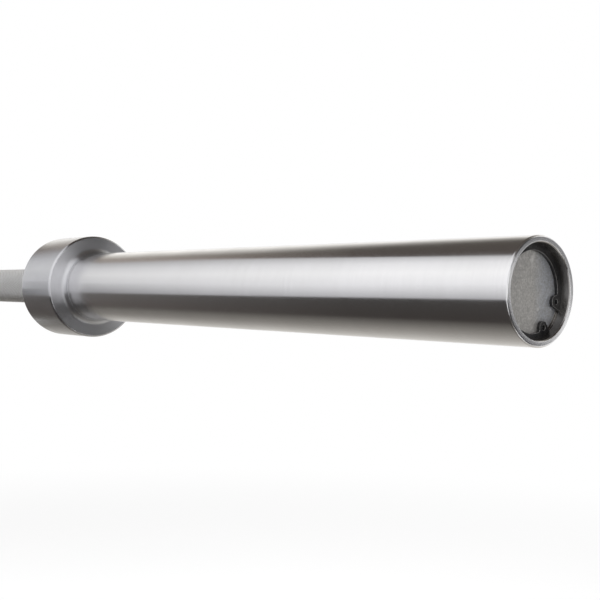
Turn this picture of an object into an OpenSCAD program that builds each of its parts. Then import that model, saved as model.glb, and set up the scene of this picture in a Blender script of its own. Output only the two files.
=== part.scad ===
// Olympic barbell: a steel shaft with a free-turning sleeve on each end.
// The bar lies along X with its middle at the origin, and +Z is up.
// Everything is in millimetres. The right side is drawn, and the left side is its mirror image.

/* [Bar] */
// Overall length, from one sleeve's end face to the other's
bar_len = 2200; // [1800:10:2400]
// Clear length of shaft between the two collars
grip_len = 1306; // [1100:2:1400]

/* [Shaft] */
// Diameter of the grip between the sleeves
grip_d = 28; // [26:0.5:32]
// Diameter of the stub that each sleeve turns on
stub_d = 25; // [20:0.5:27]
// Chamfer on the shaft's shoulders and ends
shaft_chamfer = 0.8; // [0.2:0.1:1.2]
// Length of stub that stands out past its retaining ring
stub_tail = 5.5; // [3:0.5:9]
// How far the knurled zones stand above the smooth shaft, in radius
knurl_rise = 0.15; // [0.05:0.05:0.3]
// Length of the knurl in the middle of the shaft
centre_knurl_len = 120; // [60:10:200]
// Length of each hand knurl, from the collar inwards
hand_knurl_len = 445; // [350:5:480]
// Distance between the inner edges of the two smooth rings that mark the grip
ring_mark_span = 910; // [810:5:950]
// Width of each of these rings
ring_mark_w = 5; // [2:1:10]
// Width of the undercut beside each shoulder
relief_w = 1.5; // [0.5:0.1:2]
// Depth of the undercut beside each shoulder
relief_depth = 0.25; // [0.1:0.05:0.5]
// Mouth diameter of the lathe centre in each end
centre_d = 8; // [4:0.5:10]
// Diameter of the pilot hole at the bottom of the lathe centre
pilot_d = 2.5; // [1:0.5:3.5]
// Depth of the pilot hole past the cone
pilot_depth = 4; // [2:0.5:8]

/* [Sleeve] */
// Outside diameter of the sleeve, which the plates slide on
sleeve_d = 50; // [48:0.5:52]
// Wall of the sleeve round the recess in its end
end_wall = 3.25; // [2.5:0.05:4]
// Radius of the rounded outer edge of the sleeve's end
end_round = 1.1; // [0.5:0.1:2.2]
// Chamfer on the mouth of the recess
mouth_chamfer = 0.5; // [0.1:0.1:0.8]
// Length of the cavity between the end disc and the outer thrust face
cavity_len = 16; // [12:0.5:30]
// Radial room between the stub and the sleeve's long middle bore
bore_room = 3; // [1:0.1:3.2]

/* [Collar] */
// Outside diameter of the collar
collar_d = 76; // [68:1:90]
// Width of the collar, from its inner to its outer face
collar_w = 47; // [30:1:60]
// Radius of the collar's two rounded outer edges
collar_round = 1.6; // [0.5:0.1:3]
// How much the sleeve is turned down, in radius, to seat the collar
seat_step = 2; // [1:0.1:2.5]
// Radius of the cove from the collar's outer face down to its nose
cove_r = 4; // [1:0.5:6]
// How far the collar's nose stands above the sleeve, in radius
cove_edge = 0.4; // [0.2:0.1:1]

/* [Dust seal and thrust faces] */
// Bore diameter in the sleeve's inner end, which holds the seal and the bushing's flange
seal_bore_d = 39; // [37.5:0.5:41]
// Depth of the seal inside the sleeve's inner end
seal_set = 1; // [0.5:0.5:3]
// Width of the dust seal
seal_w = 5; // [3:0.5:8]
// Radial thickness of the seal's thin lip zone
seal_lip_h = 1.6; // [1:0.1:2]
// Width of the groove behind the seal's lip
seal_groove_w = 1.6; // [1:0.1:2]
// Space between the seal and the shaft's shoulder
seal_space = 2; // [1:0.5:4]
// Thickness of each thrust washer
washer_t = 2.5; // [1.5:0.1:4]
// How far each thrust washer reaches past the bearing bore, in radius
washer_land = 2; // [1:0.1:2.2]
// Axial play of the sleeve at each end
end_play = 0.1; // [0.05:0.01:0.3]

/* [Bearings and bushing] */
// Diameter of one needle roller
roller_d = 2.46; // [2:0.02:2.8]
// Length of one needle roller
roller_len = 15.8; // [10:0.2:24]
// Running clearance between the rollers and each raceway
roller_play = 0.02; // [0.01:0.01:0.05]
// Least gap between two neighbouring rollers
roller_gap = 1.3; // [0.8:0.1:2.5]
// Wall of a bearing's drawn cup, and of its two lips
cup_wall = 1; // [0.8:0.1:1.4]
// Radial gap between a cup's lips and the stub
lip_gap = 0.9; // [0.5:0.1:1.2]
// Radial thickness of a roller cage
cage_t = 1.3; // [1:0.1:1.6]
// Width of a cage's rim past the ends of its pockets
cage_rim = 0.8; // [0.5:0.1:2]
// Clearance of a roller in its cage pocket, on each side
pocket_play = 0.05; // [0.03:0.01:0.1]
// Axial clearance of a cage between its cup's lips
cage_play = 0.2; // [0.1:0.05:0.4]
// Length of the bushing behind its flange
bushing_len = 30; // [15:1:50]
// Thickness of the bushing's flange
flange_t = 3; // [1.5:0.1:5]
// Radial running clearance of the bushing, washers and seal
running_gap = 0.05; // [0.02:0.01:0.1]
// Space between the bushing and the inner bearing
bearing_space = 4.4; // [2:0.2:20]
// Space between the outer thrust face and the outer bearing
outer_bearing_in = 4.6; // [1:0.2:20]

/* [End disc and retaining rings] */
// Depth of the end retaining ring below the sleeve's end face
ring_set = 4.6; // [3:0.1:8]
// Thickness of the end retaining ring
ring_t = 1.75; // [1.2:0.05:2.5]
// Depth of the groove that holds the end retaining ring
ring_groove = 1.25; // [0.8:0.05:1.5]
// Width of the end retaining ring that shows inside the bore
ring_show = 3.15; // [2:0.05:4]
// Thickness of the end disc
disc_t = 3; // [2:0.1:6]
// Width of the ledge that the end disc seats on
ledge_w = 1.75; // [1:0.05:2]
// Thickness of the shaft's retaining ring
clip_t = 1.2; // [0.8:0.1:1.75]
// Depth of the groove that holds the shaft's retaining ring
clip_groove = 0.55; // [0.3:0.05:0.8]
// Direction of the gap in the end retaining ring, in degrees from +Y towards +Z
ring_turn = -39.5; // [-180:0.5:180]

/* [Hidden] */
$fn = 96;
eps = 0.01;
small_fn = 64;

// Stations along the bar on its right side
end_x = bar_len / 2;
inner_x = grip_len / 2;
collar_x = inner_x + collar_w;
nose_x = collar_x + cove_r;
knurl_end_x = inner_x - 1;

// Inner stack, outwards from the sleeve's inner end
seal_x = inner_x + seal_set;
shoulder_x = seal_x + seal_w + seal_space;
flange_x = shoulder_x + washer_t + end_play;
bushing_x = flange_x + flange_t;
cage_len = roller_len + 2 * pocket_play + 2 * cage_rim;
bearing_w = cage_len + 2 * cage_play + 2 * cup_wall;
inner_bearing_x = bushing_x + bushing_len + bearing_space;
inner_step_x = inner_bearing_x + bearing_w;

// Outer stack, inwards from the sleeve's end face
groove_play = 0.1;
ring_x = end_x - ring_set - ring_t;
disc_x = ring_x - disc_t;
thrust_x = disc_x - cavity_len;
outer_washer_x = thrust_x + end_play;
clip_x = outer_washer_x + washer_t;
stub_end_x = clip_x + clip_t + stub_tail;
outer_bearing_x = thrust_x - outer_bearing_in - bearing_w;

// Radii
grip_r = grip_d / 2;
knurl_r = grip_r + knurl_rise;
stub_r = stub_d / 2;
shoulder_chamfer = min(shaft_chamfer, (grip_r - stub_r) / 2);
seat_chamfer = 0.5;
least_flat = 0.3; // what the rounded edge leaves of the sleeve's end face
rim_round = min(end_round, end_wall - mouth_chamfer - least_flat);
pitch_r = stub_r + roller_play + roller_d / 2;
race_r = pitch_r + roller_d / 2 + roller_play;
cup_r = race_r + cup_wall;
bore_r = stub_r + bore_room;
washer_r = cup_r + washer_land;
seal_bore_r = seal_bore_d / 2;
sleeve_r = sleeve_d / 2;
seat_r = sleeve_r - seat_step;
end_bore_r = sleeve_r - end_wall;
groove_r = end_bore_r + ring_groove;
cavity_r = end_bore_r - ledge_w;
clip_groove_r = stub_r - clip_groove;

// As many rollers as the pitch circle takes with the least gap
rollers = floor(180 / asin((roller_d + roller_gap) / 2 / pitch_r));

// Proportions of the end retaining ring: its inner circle sits off centre, so it is widest
// opposite its gap, and each of its two ears has a hole for the pliers
ring_shift = 0.35;
ring_ear_in = 3.4;
ring_ear_r = 2.9;
ring_hole_r = 1.25;
ring_ear_turn = 23.8;
ring_ear_edge = 2.7;

// The same for the shaft's retaining ring, whose ears stand outwards
clip_w = 3.1;
clip_shift = 0.5;
clip_ear_out = 3.2;
clip_ear_r = 2.1;
clip_hole_r = 1;
clip_ear_turn = 18;
clip_ear_edge = 1.6;

// Fillet between an ear and its ring
ear_fillet_r = 1.2;
arc_steps = 6;

// Turns a drawing in the XY plane to face along the bar: x goes to +Y, y to +Z and z to +X
module along_bar() rotate([90, 0, 90]) children();

// A turned piece, from its half section with radius along x and place along the bar on y
module turned() along_bar() rotate_extrude() children();

// The other end of the bar
module left_side() mirror([1, 0, 0]) children();

// A plain ring between two radii and two stations
module ring_blank(r_in, r_out, from_x, to_x) translate([r_in, from_x])
  square([r_out - r_in, to_x - from_x]);

// Profile of one knurled zone, which runs out on a short slope at each end
function knurl_profile(from_x, to_x) = [
  [grip_r, from_x],
  [knurl_r, from_x + knurl_rise],
  [knurl_r, to_x - knurl_rise],
  [grip_r, to_x]
];

// Half section of one end of the shaft, from the bar's middle to the stub's end
module shaft_half_section() difference() {
  polygon(concat([
    [0, 0],
    [knurl_r, 0],
    [knurl_r, centre_knurl_len / 2 - knurl_rise],
    [grip_r, centre_knurl_len / 2]
  ],
  knurl_profile(inner_x - hand_knurl_len, ring_mark_span / 2),
  knurl_profile(ring_mark_span / 2 + ring_mark_w, knurl_end_x),
  [
    [grip_r, shoulder_x - shoulder_chamfer],
    [grip_r - shoulder_chamfer, shoulder_x],
    [stub_r - relief_depth, shoulder_x],
    [stub_r - relief_depth, shoulder_x + relief_w],
    [stub_r, shoulder_x + relief_w],
    [stub_r, clip_x],
    [clip_groove_r, clip_x],
    [clip_groove_r, clip_x + clip_t + groove_play],
    [stub_r, clip_x + clip_t + groove_play],
    [stub_r, stub_end_x - shaft_chamfer],
    [stub_r - shaft_chamfer, stub_end_x],
    [0, stub_end_x]
  ]));
  lathe_centre_section();
}

// The 60 degree cone and pilot hole that the shaft was turned on
module lathe_centre_section() {
  cone_depth = (centre_d - pilot_d) / 2 / tan(30);
  polygon([
    [0, stub_end_x + eps],
    [centre_d / 2, stub_end_x + eps],
    [centre_d / 2, stub_end_x],
    [pilot_d / 2, stub_end_x - cone_depth],
    [pilot_d / 2, stub_end_x - cone_depth - pilot_depth],
    [0, stub_end_x - cone_depth - pilot_depth]
  ]);
}

module shaft() color("darkgray") turned() {
  shaft_half_section();
  mirror([0, 1]) shaft_half_section();
}

// The sleeve's tube: its seat for the collar outside, and inside it the bores for the seal,
// the bushing and inner bearing, the outer bearing, the cavity and the end recess
module sleeve() color("silver") turned() difference() {
  union() {
    polygon([
      [0, inner_x],
      [seat_r - seat_chamfer, inner_x],
      [seat_r, inner_x + seat_chamfer],
      [seat_r, nose_x],
      [sleeve_r, nose_x],
      [sleeve_r, end_x - rim_round],
      [sleeve_r - rim_round, end_x],
      [0, end_x]
    ]);
    translate([sleeve_r - rim_round, end_x - rim_round]) circle(rim_round, $fn = small_fn);
  }
  ring_blank(0, seal_bore_r, inner_x - eps, bushing_x);
  ring_blank(0, cup_r, bushing_x - eps, inner_step_x);
  ring_blank(0, bore_r, inner_step_x - eps, outer_bearing_x + eps);
  ring_blank(0, cup_r, outer_bearing_x, thrust_x + eps);
  ring_blank(0, cavity_r, thrust_x, disc_x + eps);
  ring_blank(0, end_bore_r, disc_x, end_x + eps);
  ring_blank(0, groove_r, ring_x - groove_play / 2, ring_x + ring_t + groove_play / 2);
  polygon([
    [0, end_x - mouth_chamfer],
    [end_bore_r, end_x - mouth_chamfer],
    [end_bore_r + mouth_chamfer, end_x],
    [end_bore_r + mouth_chamfer, end_x + eps],
    [0, end_x + eps]
  ]);
}

// The collar that stops the plates: a shrunk-on ring whose nose butts on the sleeve's shoulder
module collar() color("lightslategray") turned() {
  nose_r = sleeve_r + cove_edge;
  rim_r = collar_d / 2 - collar_round;
  difference() {
    union() {
      polygon([
        [seat_r, inner_x],
        [rim_r, inner_x],
        [collar_d / 2, inner_x + collar_round],
        [collar_d / 2, collar_x - collar_round],
        [rim_r, collar_x],
        [seat_r, collar_x]
      ]);
      for (x = [inner_x + collar_round, collar_x - collar_round])
        translate([rim_r, x]) circle(collar_round, $fn = small_fn);
      ring_blank(seat_r, nose_r + cove_r, collar_x - eps, nose_x);
    }
    translate([nose_r + cove_r, nose_x]) circle(cove_r, $fn = small_fn);
  }
}

// The rubber seal, with a tapered lip that runs on the grip
module dust_seal() color("dimgray") turned() {
  lip_r = grip_r + running_gap;
  groove_low_r = lip_r + seal_lip_h;
  difference() {
    polygon([
      [lip_r, seal_x],
      [seal_bore_r, seal_x],
      [seal_bore_r, seal_x + seal_w],
      [lip_r + seal_lip_h / 2, seal_x + seal_w],
      [lip_r, seal_x + seal_lip_h]
    ]);
    ring_blank(groove_low_r, (groove_low_r + seal_bore_r) / 2,
      seal_x + seal_w - seal_groove_w, seal_x + seal_w + eps);
  }
}

module thrust_washer(at_x) color("darkkhaki") turned()
  ring_blank(stub_r + running_gap, washer_r, at_x, at_x + washer_t);

module inner_thrust_washer() thrust_washer(shoulder_x);

module outer_thrust_washer() thrust_washer(outer_washer_x);

// The bronze bushing, pressed in from the sleeve's inner end up to its flange
module flanged_bushing() color("goldenrod") turned() {
  lead = flange_t / 4;
  polygon([
    [stub_r + running_gap, flange_x],
    [seal_bore_r - running_gap, flange_x],
    [seal_bore_r - running_gap, bushing_x],
    [cup_r, bushing_x],
    [cup_r, bushing_x + bushing_len - lead],
    [cup_r - lead, bushing_x + bushing_len],
    [stub_r + running_gap, bushing_x + bushing_len]
  ]);
}

// A needle bearing's drawn cup, with a lip at each end that keeps the cage in
module bearing_cup(at_x) color("lightsteelblue") turned() {
  corner = cup_wall / 3;
  difference() {
    polygon([
      [stub_r + lip_gap, at_x],
      [cup_r - corner, at_x],
      [cup_r, at_x + corner],
      [cup_r, at_x + bearing_w - corner],
      [cup_r - corner, at_x + bearing_w],
      [stub_r + lip_gap, at_x + bearing_w]
    ]);
    ring_blank(0, race_r, at_x + cup_wall, at_x + bearing_w - cup_wall);
  }
}

// Places one child at each roller's place on the pitch circle
module each_roller() for (i = [0 : rollers - 1]) rotate(i * 360 / rollers)
  translate([pitch_r, 0, 0]) children();

// The cage that spaces the rollers: a thin ring with one pocket for each of them
module bearing_cage(at_x) color("slategray") along_bar()
  translate([0, 0, at_x + cup_wall + cage_play]) difference() {
    cylinder(r = pitch_r + cage_t / 2, h = cage_len);
    translate([0, 0, -eps]) cylinder(r = pitch_r - cage_t / 2, h = cage_len + 2 * eps);
    pocket = [2 * cage_t, roller_d + 2 * pocket_play, roller_len + 2 * pocket_play];
    each_roller() translate([0, 0, cage_rim + pocket.z / 2]) cube(pocket, center = true);
  }

module bearing_rollers(at_x) color("gainsboro") along_bar()
  translate([0, 0, at_x + cup_wall + cage_play + cage_rim + pocket_play])
    each_roller() cylinder(d = roller_d, h = roller_len, $fn = 24);

module inner_bearing_cup() bearing_cup(inner_bearing_x);

module inner_bearing_cage() bearing_cage(inner_bearing_x);

module inner_bearing_rollers() bearing_rollers(inner_bearing_x);

module outer_bearing_cup() bearing_cup(outer_bearing_x);

module outer_bearing_cage() bearing_cage(outer_bearing_x);

module outer_bearing_rollers() bearing_rollers(outer_bearing_x);

// Points along an arc about a centre, from one angle to another
function arc_points(centre, r, from, to) = [for (i = [0 : arc_steps])
  let (a = from + (to - from) * i / arc_steps) centre + r * [cos(a), sin(a)]];

// Where two circles cross, on the left of the line from the first centre to the second
function circles_cross(c1, r1, c2, r2) =
  let (d = norm(c2 - c1), u = (c2 - c1) / d, a = (r1 * r1 - r2 * r2 + d * d) / (2 * d))
  c1 + a * u + sqrt(r1 * r1 - a * a) * [-u.y, u.x];

// One ear of a retaining ring: a round pad, with a fillet to the ring on the side away from the
// gap. The ear stands from the edge circle, outwards where out is 1 and inwards where it is -1.
module ring_ear(edge_r, edge_shift, out, ear_at, ear_r, ear_turn, fillet_r) {
  pad = [ear_at, 0];
  edge = edge_shift * [cos(ear_turn), -sin(ear_turn)];
  fillet = circles_cross(edge, edge_r + out * fillet_r, pad, ear_r + fillet_r);
  to_pad = pad - fillet;
  to_edge = out * (edge - fillet);
  root = edge + (edge_r - out) * (fillet - edge) / norm(fillet - edge);
  translate(pad) circle(ear_r, $fn = small_fn);
  polygon(concat([pad],
    arc_points(fillet, fillet_r + 2 * eps, atan2(to_pad.y, to_pad.x), atan2(to_edge.y, to_edge.x)),
    [root]));
}

// The flat shape of a sprung retaining ring with its gap towards +x. One of its two circles is
// shifted, so that it is widest opposite the gap. Both ears are cut off square to the gap.
module eared_ring(r_out, out_shift, r_in, in_shift, out,
    ear_at, ear_r, hole_r, ear_turn, ear_edge, fillet_r) {
  gap_half = ear_turn - asin(ear_edge / ear_at);
  reach = 2 * r_out;
  module ears(edge_r, edge_shift) for (side = [0, 1]) mirror([0, side]) rotate(ear_turn)
    ring_ear(edge_r, edge_shift, out, ear_at, ear_r, ear_turn, fillet_r);
  difference() {
    union() {
      translate([out_shift, 0]) circle(r_out);
      if (out > 0) ears(r_out, out_shift);
    }
    difference() {
      translate([in_shift, 0]) circle(r_in);
      if (out < 0) ears(r_in, in_shift);
    }
    polygon([
      [0, 0],
      [reach, -reach * tan(gap_half)],
      [reach, reach * tan(gap_half)]
    ]);
    for (side = [-1, 1]) rotate(side * ear_turn) translate([ear_at, 0]) circle(hole_r, $fn = small_fn);
  }
}

// The ring in the stub's groove that keeps the sleeve on; its ears stand outwards
module shaft_retaining_ring() color("dimgray") along_bar() translate([0, 0, clip_x])
  linear_extrude(clip_t) eared_ring(clip_groove_r + clip_w, -clip_shift, clip_groove_r, 0, 1,
    clip_groove_r + clip_ear_out, clip_ear_r, clip_hole_r, clip_ear_turn, clip_ear_edge, ear_fillet_r);

// The plain disc that closes the end of the sleeve
module end_disc() color("gray") turned() {
  edge = disc_t / 10;
  rim_r = end_bore_r - running_gap;
  polygon([
    [0, disc_x],
    [rim_r, disc_x],
    [rim_r, disc_x + disc_t - edge],
    [rim_r - edge, disc_x + disc_t],
    [0, disc_x + disc_t]
  ]);
}

// The black sprung ring that holds the end disc on its ledge; its ears stand inwards
module end_retaining_ring() color([0.12, 0.12, 0.12]) along_bar()
  translate([0, 0, ring_x]) rotate(ring_turn) linear_extrude(ring_t)
    eared_ring(groove_r, 0, end_bore_r - ring_show, ring_shift, -1,
      end_bore_r - ring_ear_in, ring_ear_r, ring_hole_r, ring_ear_turn, ring_ear_edge, ear_fillet_r);

shaft();
sleeve();  // right_sleeve
collar();  // right_collar
dust_seal();  // right_dust_seal
inner_thrust_washer();  // right_inner_thrust_washer
flanged_bushing();  // right_flanged_bushing
inner_bearing_cup();  // right_inner_bearing_cup
inner_bearing_cage();  // right_inner_bearing_cage
inner_bearing_rollers();  // right_inner_bearing_rollers
outer_bearing_cup();  // right_outer_bearing_cup
outer_bearing_cage();  // right_outer_bearing_cage
outer_bearing_rollers();  // right_outer_bearing_rollers
outer_thrust_washer();  // right_outer_thrust_washer
shaft_retaining_ring();  // right_shaft_retaining_ring
end_disc();  // right_end_disc
end_retaining_ring();  // right_end_retaining_ring
left_side() sleeve();  // left_sleeve
left_side() collar();  // left_collar
left_side() dust_seal();  // left_dust_seal
left_side() inner_thrust_washer();  // left_inner_thrust_washer
left_side() flanged_bushing();  // left_flanged_bushing
left_side() inner_bearing_cup();  // left_inner_bearing_cup
left_side() inner_bearing_cage();  // left_inner_bearing_cage
left_side() inner_bearing_rollers();  // left_inner_bearing_rollers
left_side() outer_bearing_cup();  // left_outer_bearing_cup
left_side() outer_bearing_cage();  // left_outer_bearing_cage
left_side() outer_bearing_rollers();  // left_outer_bearing_rollers
left_side() outer_thrust_washer();  // left_outer_thrust_washer
left_side() shaft_retaining_ring();  // left_shaft_retaining_ring
left_side() end_disc();  // left_end_disc
left_side() end_retaining_ring();  // left_end_retaining_ring
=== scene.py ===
# The looks of the olympic barbell, in metres, with the bar along X and +Z up
import math

import bmesh
import bpy
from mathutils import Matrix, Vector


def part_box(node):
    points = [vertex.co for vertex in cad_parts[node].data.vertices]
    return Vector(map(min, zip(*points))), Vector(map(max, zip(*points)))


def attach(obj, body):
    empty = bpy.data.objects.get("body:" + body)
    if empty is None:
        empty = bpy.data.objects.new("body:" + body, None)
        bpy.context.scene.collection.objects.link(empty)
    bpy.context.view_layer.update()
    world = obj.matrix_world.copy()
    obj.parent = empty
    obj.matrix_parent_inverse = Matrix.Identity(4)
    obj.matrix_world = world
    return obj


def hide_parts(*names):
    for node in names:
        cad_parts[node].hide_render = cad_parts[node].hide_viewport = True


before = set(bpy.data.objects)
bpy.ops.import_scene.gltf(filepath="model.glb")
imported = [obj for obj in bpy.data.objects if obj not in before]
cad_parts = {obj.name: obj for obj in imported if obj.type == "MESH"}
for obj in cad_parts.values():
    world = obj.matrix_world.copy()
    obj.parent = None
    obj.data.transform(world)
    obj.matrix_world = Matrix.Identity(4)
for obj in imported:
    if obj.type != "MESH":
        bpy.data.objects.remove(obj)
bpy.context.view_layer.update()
sides = {"right": 1, "left": -1}

# Camera, where the photographer stood: close to the right end and a little to the front
shot = {"place": (1.3507, -0.3559, 0.0050), "heading": 49.3, "tilt": -1.19, "lens": 57.55, "sensor": 36}


def makeCamera():
    data = bpy.data.cameras.new("camera")
    data.lens = shot["lens"]
    data.sensor_width = shot["sensor"]
    camera = bpy.data.objects.new("camera", data)
    camera.location = shot["place"]
    camera.rotation_euler = (math.radians(90 + shot["tilt"]), 0, math.radians(shot["heading"]))
    bpy.context.scene.collection.objects.link(camera)
    bpy.context.scene.camera = camera


makeCamera()
print("camera placed")


# Where the CAD pieces of the right side begin and end along the bar
def startOf(name):
    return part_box("right_" + name)[0].x


def endOf(name):
    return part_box("right_" + name)[1].x


# Small helpers for node trees
def addNode(tree, kind, inputs=None, **settings):
    node = tree.nodes.new(kind)
    for key, value in settings.items():
        setattr(node, key, value)
    for key, value in (inputs or {}).items():
        if isinstance(value, bpy.types.NodeSocket):
            tree.links.new(value, node.inputs[key])
        else:
            node.inputs[key].default_value = value
    return node


def doMath(tree, operation, first, second=0.0, clamp=False):
    node = addNode(tree, "ShaderNodeMath", {0: first, 1: second}, operation=operation, use_clamp=clamp)
    return node.outputs[0]


def add(tree, first, second, clamp=False):
    return doMath(tree, "ADD", first, second, clamp)


def multiply(tree, first, second, clamp=False):
    return doMath(tree, "MULTIPLY", first, second, clamp)


# A value with a share of another added
def addShare(tree, base, extra, share):
    return add(tree, base, multiply(tree, extra, share))


def blendColour(tree, share, first, second):
    node = addNode(tree, "ShaderNodeMix", {0: share, 6: first, 7: second}, data_type="RGBA")
    return node.outputs[2]


def blendValue(tree, share, first, second):
    node = addNode(tree, "ShaderNodeMix", {0: share, 2: first, 3: second}, data_type="FLOAT")
    return node.outputs[0]


def mapValue(tree, value, fromLow, fromHigh, toLow, toHigh, smooth=False):
    kind = "SMOOTHSTEP" if smooth else "LINEAR"
    node = addNode(tree, "ShaderNodeMapRange", {0: value, 1: fromLow, 2: fromHigh, 3: toLow, 4: toHigh},
                   interpolation_type=kind)
    return node.outputs[0]


def newGroup(name, inputs, outputs):
    group = bpy.data.node_groups.new(name, "ShaderNodeTree")
    for label in inputs:
        group.interface.new_socket(label, in_out="INPUT", socket_type="NodeSocketFloat")
    for label in outputs:
        group.interface.new_socket(label, in_out="OUTPUT", socket_type="NodeSocketFloat")
    return group, group.nodes.new("NodeGroupInput"), group.nodes.new("NodeGroupOutput")


# Shared effects: the scale, detail and cut of each noise, and the width that a bore's edge fades over
effects = {
    "lineDetail": 4, "lineRoughness": 0.65, "patchScale": 70, "patchDetail": 2, "patchCut": (0.35, 0.65),
    "evenLine": 0.5, "cloudDetail": 4, "grainDetail": 2, "stainRoughness": 0.6, "stainCut": (0.3, 0.7),
    "nickScale": 450, "nickDetail": 3, "nickCut": (0.3, 0.6), "leastWearAndGlint": 0.35, "boreFade": 0.0001,
}


# Distance along the bar and from its axis, which every turned pattern is drawn with
def barPlaces(tree):
    place = addNode(tree, "ShaderNodeTexCoord").outputs["Object"]
    parts = addNode(tree, "ShaderNodeSeparateXYZ", {0: place})
    across = addNode(tree, "ShaderNodeCombineXYZ", {1: parts.outputs[1], 2: parts.outputs[2]})
    radius = addNode(tree, "ShaderNodeVectorMath", {0: across.outputs[0]}, operation="LENGTH")
    return place, parts.outputs[0], radius.outputs["Value"]


# Fine lines that a turning tool leaves round the bar, fading in and out
def makeTurnedLines():
    group, given, out = newGroup("turnedLines", ["Pitch", "Breakup"], ["Lines", "Height"])
    place, along, radius = barPlaces(group)
    column = doMath(group, "DIVIDE", along, given.outputs["Pitch"])
    ring = doMath(group, "DIVIDE", radius, given.outputs["Pitch"])
    strip = addNode(group, "ShaderNodeCombineXYZ", {0: column, 1: ring})
    lines = addNode(group, "ShaderNodeTexNoise", {"Vector": strip.outputs[0], "Scale": 1,
                    "Detail": effects["lineDetail"], "Roughness": effects["lineRoughness"]},
                    noise_dimensions="2D")
    patches = addNode(group, "ShaderNodeTexNoise", {"Vector": place, "Scale": effects["patchScale"],
                      "Detail": effects["patchDetail"]})
    fade = mapValue(group, patches.outputs[0], *effects["patchCut"], 0, 1)
    share = multiply(group, fade, given.outputs["Breakup"])
    group.links.new(blendValue(group, share, lines.outputs[0], effects["evenLine"]), out.inputs["Lines"])
    group.links.new(lines.outputs[0], out.inputs["Height"])
    return group


# Cloudy stains and a fine grain
def makePatina():
    group, given, out = newGroup("patina", ["Cloud size", "Grain size"], ["Cloud", "Grain"])
    place = addNode(group, "ShaderNodeTexCoord").outputs["Object"]
    for label in ("Cloud", "Grain"):
        scale = doMath(group, "DIVIDE", 1, given.outputs[label + " size"])
        noise = addNode(group, "ShaderNodeTexNoise", {"Vector": place, "Scale": scale,
                        "Detail": effects[label.lower() + "Detail"], "Roughness": effects["stainRoughness"]})
        group.links.new(mapValue(group, noise.outputs[0], *effects["stainCut"], 0, 1), out.inputs[label])
    return group


# Rubbed edges, lighter partly from wear and partly from a painted highlight: every turned piece and retaining
# ring marks its rounded corners in the attribute "edge"
def makeEdgeWearAndGlint():
    group, given, out = newGroup("edgeWearAndGlint", ["Amount"], ["Worn"])
    mark = addNode(group, "ShaderNodeAttribute", attribute_name="edge").outputs["Fac"]
    place = addNode(group, "ShaderNodeTexCoord").outputs["Object"]
    nicks = addNode(group, "ShaderNodeTexNoise", {"Vector": place, "Scale": effects["nickScale"],
                    "Detail": effects["nickDetail"]})
    strength = mapValue(group, nicks.outputs[0], *effects["nickCut"], effects["leastWearAndGlint"], 1)
    wornAndGlint = multiply(group, multiply(group, mark, strength), given.outputs["Amount"], True)
    group.links.new(wornAndGlint, out.inputs["Worn"])
    return group


turnedLines = makeTurnedLines()
patina = makePatina()
edgeWearAndGlint = makeEdgeWearAndGlint()


def useGroup(tree, group, **values):
    node = addNode(tree, "ShaderNodeGroup", node_tree=group)
    for label, value in values.items():
        node.inputs[label.replace("_", " ")].default_value = value
    return node.outputs


def newMaterial(name):
    material = bpy.data.materials.new(name)
    material.use_nodes = True
    tree = material.node_tree
    return material, tree, tree.nodes["Principled BSDF"]


# Links a finish to its material's shader
def finishShader(tree, shader, look, colour, rough, height):
    tree.links.new(colour, shader.inputs["Base Color"])
    tree.links.new(rough, shader.inputs["Roughness"])
    bump = addNode(tree, "ShaderNodeBump", {"Strength": look["bumpStrength"], "Distance": look["bumpDepth"],
                   "Height": height})
    tree.links.new(bump.outputs[0], shader.inputs["Normal"])
    shader.inputs["Metallic"].default_value = look.get("metallic", 1)


# A mask that is 1 up to a limit and 0 beyond it
def upTo(tree, value, limit):
    return mapValue(tree, value, limit - effects["boreFade"], limit, 1, 0)


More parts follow.
